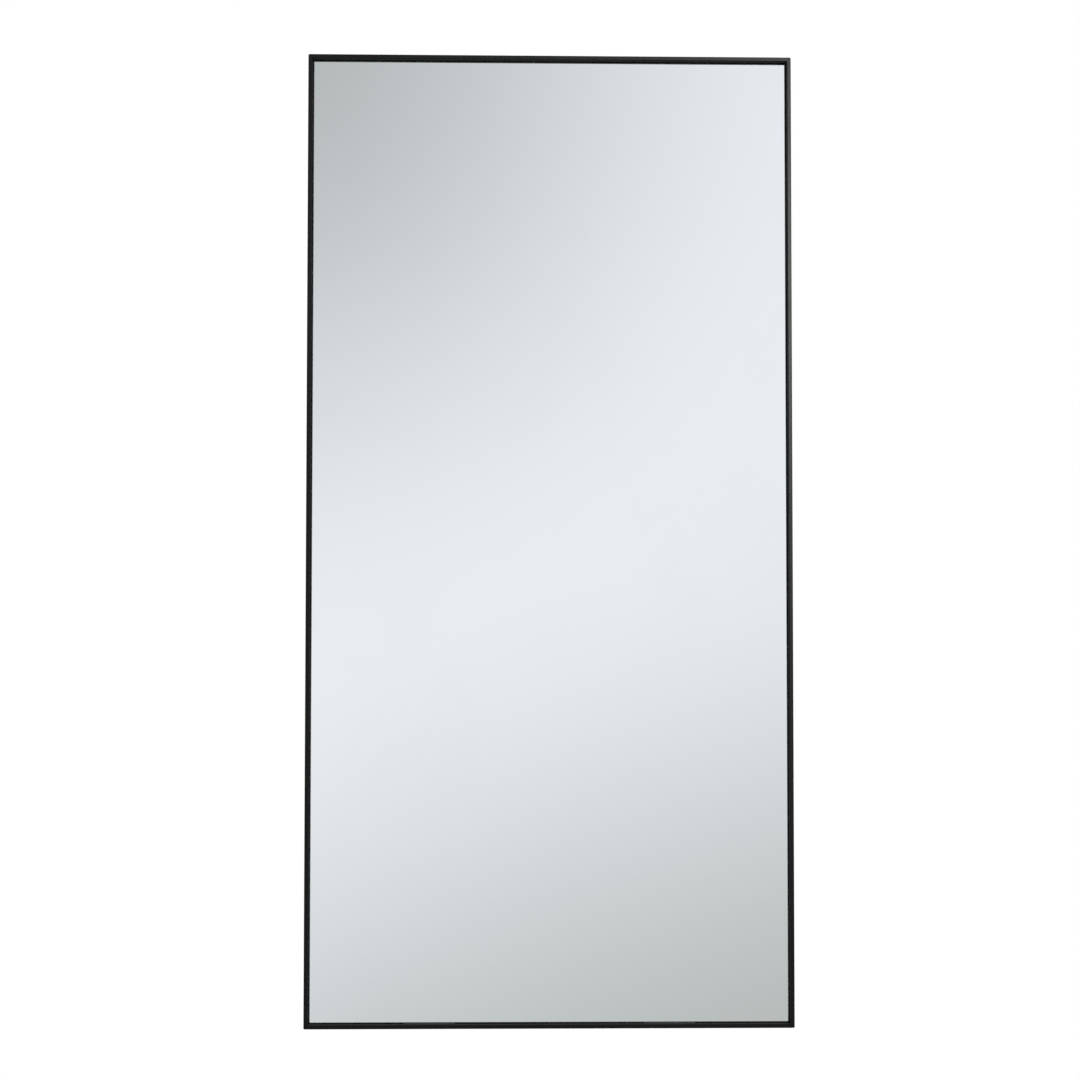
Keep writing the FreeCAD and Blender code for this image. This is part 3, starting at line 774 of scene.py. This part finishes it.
def looseParts(node):
    bm = bmesh.new()
    bm.from_mesh(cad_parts[node].data)
    bmesh.ops.remove_doubles(bm, verts=bm.verts, dist=weldReach)
    waiting = set(bm.verts)
    boxes = []
    while waiting:
        reach = [waiting.pop()]
        spots = []
        while reach:
            vert = reach.pop()
            spots.append(vert.co.copy())
            for link in vert.link_edges:
                near = link.other_vert(vert)
                if near in waiting:
                    waiting.discard(near)
                    reach.append(near)
        boxes.append([Vector(map(pick, *spots)) for pick in (min, max)])
    bm.free()
    return sorted(boxes, key=lambda box: (round(box[0].x, 4), box[0].z))


def screwRings(headRadius, length):     # radius, height and share of the thread
    core, pitch = screw["coreRadius"], screw["pitch"]
    rings = [(radius * headRadius, height * screw["headHeight"], 0.0) for radius, height in screw["dome"]]
    rings.append((screw["shankRadius"], 0.0, 0.0))
    depth = 0.0
    while depth < length - 2 * pitch:
        depth += pitch / screw["turnRings"]
        rings.append((core, -depth, 1.0))
    for share, turns, thread in screw["tip"]:
        rings.append((core * share, -(length - turns * pitch), thread))
    return rings


def screwBlank(headRadius, length):
    bm = bmesh.new()
    crest = screw["shankRadius"] - screw["coreRadius"]
    loops = []
    for radius, height, thread in screwRings(headRadius, length):
        loop = []
        for step in range(screw["around"]):
            share = step / screw["around"]
            phase = (height / screw["pitch"] + share) % 1.0
            out = radius + thread * crest * max(0.0, 1 - abs(phase - 0.5) * screw["threadSlope"])
            turn = share * 2 * math.pi
            loop.append(bm.verts.new((out * math.cos(turn), height, -out * math.sin(turn))))
        loops.append(loop)
    for loop, following in zip(loops, loops[1:]):
        for j in range(screw["around"]):
            k = (j + 1) % screw["around"]
            bm.faces.new((loop[j], loop[k], following[k], following[j]))
    bm.faces.new(loops[0])
    bm.faces.new(loops[-1])
    bmesh.ops.recalc_face_normals(bm, faces=bm.faces)
    return bm


def crossCutter(turn):
    bm = bmesh.new()
    mouth = screw["headHeight"] * screw["cutterTop"]
    floor = screw["headHeight"] - screw["crossDepth"]
    ends = []
    for height, share in ((mouth, 1.0), (floor, screw["crossTaper"])):
        reach, half = screw["crossReach"] * share, screw["crossWidth"] * share / 2
        spots = [(-reach, -half), (reach, -half), (reach, half), (-reach, half)]
        ends.append([bm.verts.new((x, height, z)) for x, z in spots])
    for j in range(4):
        k = (j + 1) % 4
        bm.faces.new((ends[0][j], ends[0][k], ends[1][k], ends[1][j]))
    bm.faces.new(ends[0])
    bm.faces.new(ends[1])
    bmesh.ops.recalc_face_normals(bm, faces=bm.faces)
    bmesh.ops.rotate(bm, verts=bm.verts, matrix=Matrix.Rotation(turn, 3, "Y"))
    return bm


def pitCutter():
    bm = bmesh.new()
    mouth = screw["headHeight"] * screw["cutterTop"]
    floor = screw["headHeight"] - screw["crossDepth"] * screw["pitDepth"]
    wide = screw["pitRadius"]
    narrow = wide * screw["crossTaper"]
    bmesh.ops.create_cone(
        bm, cap_ends=True, segments=screw["pitAround"], radius1=narrow, radius2=wide, depth=mouth - floor)
    bmesh.ops.rotate(bm, verts=bm.verts, matrix=Matrix.Rotation(math.radians(-90), 3, "X"))
    bmesh.ops.translate(bm, verts=bm.verts, vec=(0.0, (mouth + floor) / 2, 0.0))
    return bm


def scratchObject(bm):
    mesh = bpy.data.meshes.new("scratch")
    bm.to_mesh(mesh)
    bm.free()
    made = bpy.data.objects.new("scratch", mesh)
    bpy.context.scene.collection.objects.link(made)
    return made


def screwForm(headRadius, length):
    blank = scratchObject(screwBlank(headRadius, length))
    cutters = [scratchObject(crossCutter(math.radians(turn))) for turn in (0, 90)]
    cutters.append(scratchObject(pitCutter()))
    for cutter in cutters:
        carve = blank.modifiers.new("cross", "BOOLEAN")
        carve.object = cutter
        carve.operation = "DIFFERENCE"
        carve.solver = "EXACT"
    seen = blank.evaluated_get(bpy.context.evaluated_depsgraph_get())
    form = bpy.data.meshes.new_from_object(seen)
    for spare in (blank, *cutters):
        bpy.data.objects.remove(spare)
    return form


def makeScrews(node, finish, slot):
    parts = looseParts(node)
    firstLow, firstHigh = parts[0]
    headRadius = (firstHigh.x - firstLow.x) / 2
    length = firstHigh.y - firstLow.y - screw["headHeight"]
    form = screwForm(headRadius, length)
    bm = bmesh.new()
    for i, (partLow, partHigh) in enumerate(parts):
        middle = (partLow + partHigh) / 2
        seat = Vector((middle.x, partHigh.y - screw["headHeight"], middle.z))
        turn = Matrix.Rotation(math.radians(screw["stopStep"] * i % 90), 4, "Y")
        added = bmesh.new()
        added.from_mesh(form)
        bmesh.ops.transform(added, matrix=Matrix.Translation(seat) @ turn, verts=added.verts)
        moved = bpy.data.meshes.new("scratch")
        added.to_mesh(moved)
        added.free()
        bm.from_mesh(moved)
        bpy.data.meshes.remove(moved)
    bpy.data.meshes.remove(form)
    newPiece(node + "_driven", bm, [finish], slot, node)
    return len(parts)


panelCount = makeScrews("panel_screws", "blackScrew", "black_screw")
hangerCount = makeScrews("hanger_screws", "zincScrew", "zinc")
print("screws made:", panelCount, "in the panel and", hangerCount, "in the hangers")


# Wall bumpers: moulded rubber with drafted sides and a low crown, each on a pad of foam tape.
bumper = {
    "padHeight": 0.5 * mm,
    "padInset": 0.25 * mm,
    "draft": 0.55 * mm,                 # the sides draw in this much from foot to shoulder
    "flare": 0.3 * mm,                  # upright foot below the draft
    "shoulder": 1.2 * mm,
    "crown": 0.3 * mm,
    "around": 48,
    "roundSteps": 6,
}
bumperFinishes = ["rubber", "foamTape"]
moulded, padded = range(2)              # their places in that list


def bumperProfile(radius, height):
    foot = bumper["padHeight"]
    curve = bumper["shoulder"]
    shoulder = radius - bumper["draft"] - curve
    edge = height - bumper["crown"] - curve
    points = [                         # radius, height and finish of the strip that follows
        (radius - bumper["padInset"], 0.0, padded),
        (radius - bumper["padInset"], foot, moulded),
        (radius, foot, moulded),
        (radius, foot + bumper["flare"], moulded),
    ]
    for step in range(bumper["roundSteps"] + 1):
        angle = math.radians(90) * step / bumper["roundSteps"]
        points.append((shoulder + curve * math.cos(angle), edge + curve * math.sin(angle), moulded))
    for step in range(1, bumper["roundSteps"]):
        share = step / bumper["roundSteps"]
        rise = bumper["crown"] * (1 - (1 - share) ** 2)
        points.append((shoulder * (1 - share), height - bumper["crown"] + rise, moulded))
    return points


def makeBumper(node):
    nodeLow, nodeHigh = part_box(node)
    middle = (nodeLow + nodeHigh) / 2
    bm = bmesh.new()
    loops = []
    profile = bumperProfile((nodeHigh.x - nodeLow.x) / 2, nodeHigh.y - nodeLow.y)
    for radius, height, _ in profile:
        loop = []
        for step in range(bumper["around"]):
            turn = 2 * math.pi * step / bumper["around"]
            x, z = middle.x + radius * math.cos(turn), middle.z + radius * math.sin(turn)
            loop.append(bm.verts.new((x, nodeLow.y + height, z)))
        loops.append(loop)
    for loop, following, (*_, finish) in zip(loops, loops[1:], profile):
        for j in range(len(loop)):
            k = (j + 1) % len(loop)
            bm.faces.new((loop[j], loop[k], following[k], following[j])).material_index = finish
    bm.faces.new(loops[0]).material_index = padded
    bm.faces.new(loops[-1]).material_index = moulded
    bmesh.ops.recalc_face_normals(bm, faces=bm.faces)
    return newPiece(node + "_moulded", bm, bumperFinishes, "rubber", node)


bumpers = [makeBumper(node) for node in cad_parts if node.startswith("wall_bumper_")]
print("bumpers made:", len(bumpers))


# Studio: white behind, a pale floor below and one softbox on each side of the mirror.
studio = {
    "white": (1.0, 1.0, 1.0),
    "fill": (0.52, 0.52, 0.53),
    "bright": (0.885, 0.905, 0.955),
    "dimWall": (0.36, 0.375, 0.39),
    "litWall": (0.78, 0.795, 0.815),
    "wallPatch": 0.55,                  # size of the soft lights and darks beyond the photo's view
    "patchLimits": (0.35, 0.65),
    "wallRise": (-0.5, -0.05),          # the walls lighten between these heights
    "riseShare": 0.6,
    "outskirts": {"centre": (0.03, 0.05), "reach": (0.75, 0.28)},
    "upperShade": {"tone": (0.47, 0.493, 0.503), "centre": (-0.093, 0.258), "reach": (0.0, 0.254)},
    "lowerShade": {"tone": (0.488, 0.515, 0.51), "centre": (0.475, -1.2), "reach": (1.086, 1.315)},
    "floorDrop": 0.35,                  # the mirror hangs this far above the floor
    "floorSize": 30.0,
    "floorCells": 8,
    "floorTone": (0.86, 0.86, 0.85),
    "floorRoughness": 0.9,
    "floorFade": (0.7, 1.6),            # the floor turns white between these distances
}


def makeWorld():
    world = bpy.data.worlds.new("studio")
    bpy.context.scene.world = world
    world.use_nodes = True
    tree = world.node_tree
    tree.nodes.clear()
    heading = addNode(tree, "ShaderNodeTexCoord").outputs["Generated"]
    parts = addNode(tree, "ShaderNodeSeparateXYZ", {0: heading}).outputs
    flat = addNode(tree, "ShaderNodeCombineXYZ", {"X": parts["X"], "Y": parts["Z"]}).outputs[0]
    cloud = noise(tree, heading, studio["wallPatch"], detail=0.0)
    patch = spread(tree, cloud, 0.0, 1 - studio["riseShare"], *studio["patchLimits"], "SMOOTHSTEP")
    rise = spread(tree, parts["Z"], 0.0, studio["riseShare"], *studio["wallRise"])
    walls = blendTones(tree, plus(tree, patch, rise), studio["dimWall"], studio["litWall"])
    tone = studio["bright"]
    for shade in (studio["upperShade"], studio["lowerShade"], studio["outskirts"]):
        ends = {0: flat, 1: (*shade["centre"], 0.0)}
        away = addNode(tree, "ShaderNodeVectorMath", ends, operation="DISTANCE").outputs["Value"]
        clear = spread(tree, away, 0.0, 1.0, *shade["reach"], "SMOOTHSTEP")
        tone = blendTones(tree, clear, shade.get("tone", walls), tone)
    fill, room, white = [
        addNode(tree, "ShaderNodeBackground", {"Color": toRgba(colour)}).outputs[0]
        for colour in (studio["fill"], tone, studio["white"])
    ]
    seen = addNode(tree, "ShaderNodeLightPath").outputs
    mirrored = calculate(tree, "MAXIMUM", seen["Is Glossy Ray"], seen["Is Transmission Ray"])
    around = addNode(tree, "ShaderNodeMixShader", {0: mirrored, 1: fill, 2: room}).outputs[0]
    behind = addNode(tree, "ShaderNodeMixShader", {0: seen["Is Camera Ray"], 1: around, 2: white}).outputs[0]
    addNode(tree, "ShaderNodeOutputWorld", {"Surface": behind})


def makeFloor():
    bm = bmesh.new()
    cells = studio["floorCells"]
    bmesh.ops.create_grid(bm, x_segments=cells, y_segments=cells, size=studio["floorSize"] / 2)
    mesh = bpy.data.meshes.new("floor")
    bm.to_mesh(mesh)
    bm.free()
    floor = bpy.data.objects.new("floor", mesh)
    floor.location.z = low.z - studio["floorDrop"]
    bpy.context.scene.collection.objects.link(floor)
    floor.visible_glossy = False        # the pane shows the studio, not the sheet under it
    material, tree, shader = newFinish(
        "paleFloor", Base_Color=toRgba(studio["floorTone"]), Roughness=studio["floorRoughness"])
    away = addNode(tree, "ShaderNodeVectorMath", {0: objectPlace(tree)}, operation="LENGTH").outputs["Value"]
    far = spread(tree, away, 0.0, 1.0, *studio["floorFade"], "SMOOTHSTEP")
    seen = addNode(tree, "ShaderNodeLightPath").outputs["Is Camera Ray"]
    glow = {"Color": toRgba(studio["white"]), "Strength": 1.0}
    white = addNode(tree, "ShaderNodeEmission", glow).outputs[0]
    shown = {0: times(tree, far, seen), 1: shader.outputs[0], 2: white}
    surface = addNode(tree, "ShaderNodeMixShader", shown).outputs[0]
    tree.links.new(surface, tree.nodes["Material Output"].inputs["Surface"])
    mesh.materials.append(material)


softboxes = {
    "keySoftbox": {"place": (1.15, -3.0, 1.70), "aim": (0.38, 0.0, 1.10), "size": (0.7, 1.0), "power": 108.0},
    "rearSoftbox": {"place": (-1.35, 3.0, 2.0), "aim": (-0.2, 0.0, 0.9), "size": (0.9, 1.3), "power": 76.0},
}


def leaveOut(piece):                    # a lamp that takes this collection doesn't light the piece
    unlit = bpy.data.collections.new("unlit")
    unlit.objects.link(piece)
    unlit.collection_objects[0].light_linking.link_state = "EXCLUDE"
    return unlit


def makeSoftbox(name, box, unlit):
    lamp = bpy.data.lights.new(name, "AREA")
    lamp.shape = "RECTANGLE"
    lamp.size, lamp.size_y = box["size"]
    lamp.energy = box["power"]
    light = bpy.data.objects.new(name, lamp)
    light.location = box["place"]
    heading = Vector(box["aim"]) - Vector(box["place"])
    light.rotation_euler = heading.to_track_quat("-Z", "Y").to_euler()
    light.visible_camera = False
    light.light_linking.receiver_collection = unlit
    bpy.context.scene.collection.objects.link(light)


view = {
    "lens": 85.0,
    "sensor": 36.0,
    "place": (-0.1278, -3.9946, 0.5602),
    "turn": (92.846, -0.040, -1.616),   # degrees
}


def makeCamera():
    lens = bpy.data.cameras.new("photoView")
    lens.lens = view["lens"]
    lens.sensor_width = view["sensor"]
    camera = bpy.data.objects.new("photoView", lens)
    camera.location = view["place"]
    camera.rotation_euler = Euler([math.radians(angle) for angle in view["turn"]])
    bpy.context.scene.collection.objects.link(camera)
    bpy.context.scene.camera = camera


makeWorld()
makeFloor()
glareFree = leaveOut(mirrorPane)        # lamp glare off the pane would fleck the frame's inner edges
for name, box in softboxes.items():
    makeSoftbox(name, box, glareFree)
makeCamera()
print("studio ready:", len(softboxes), "softboxes")
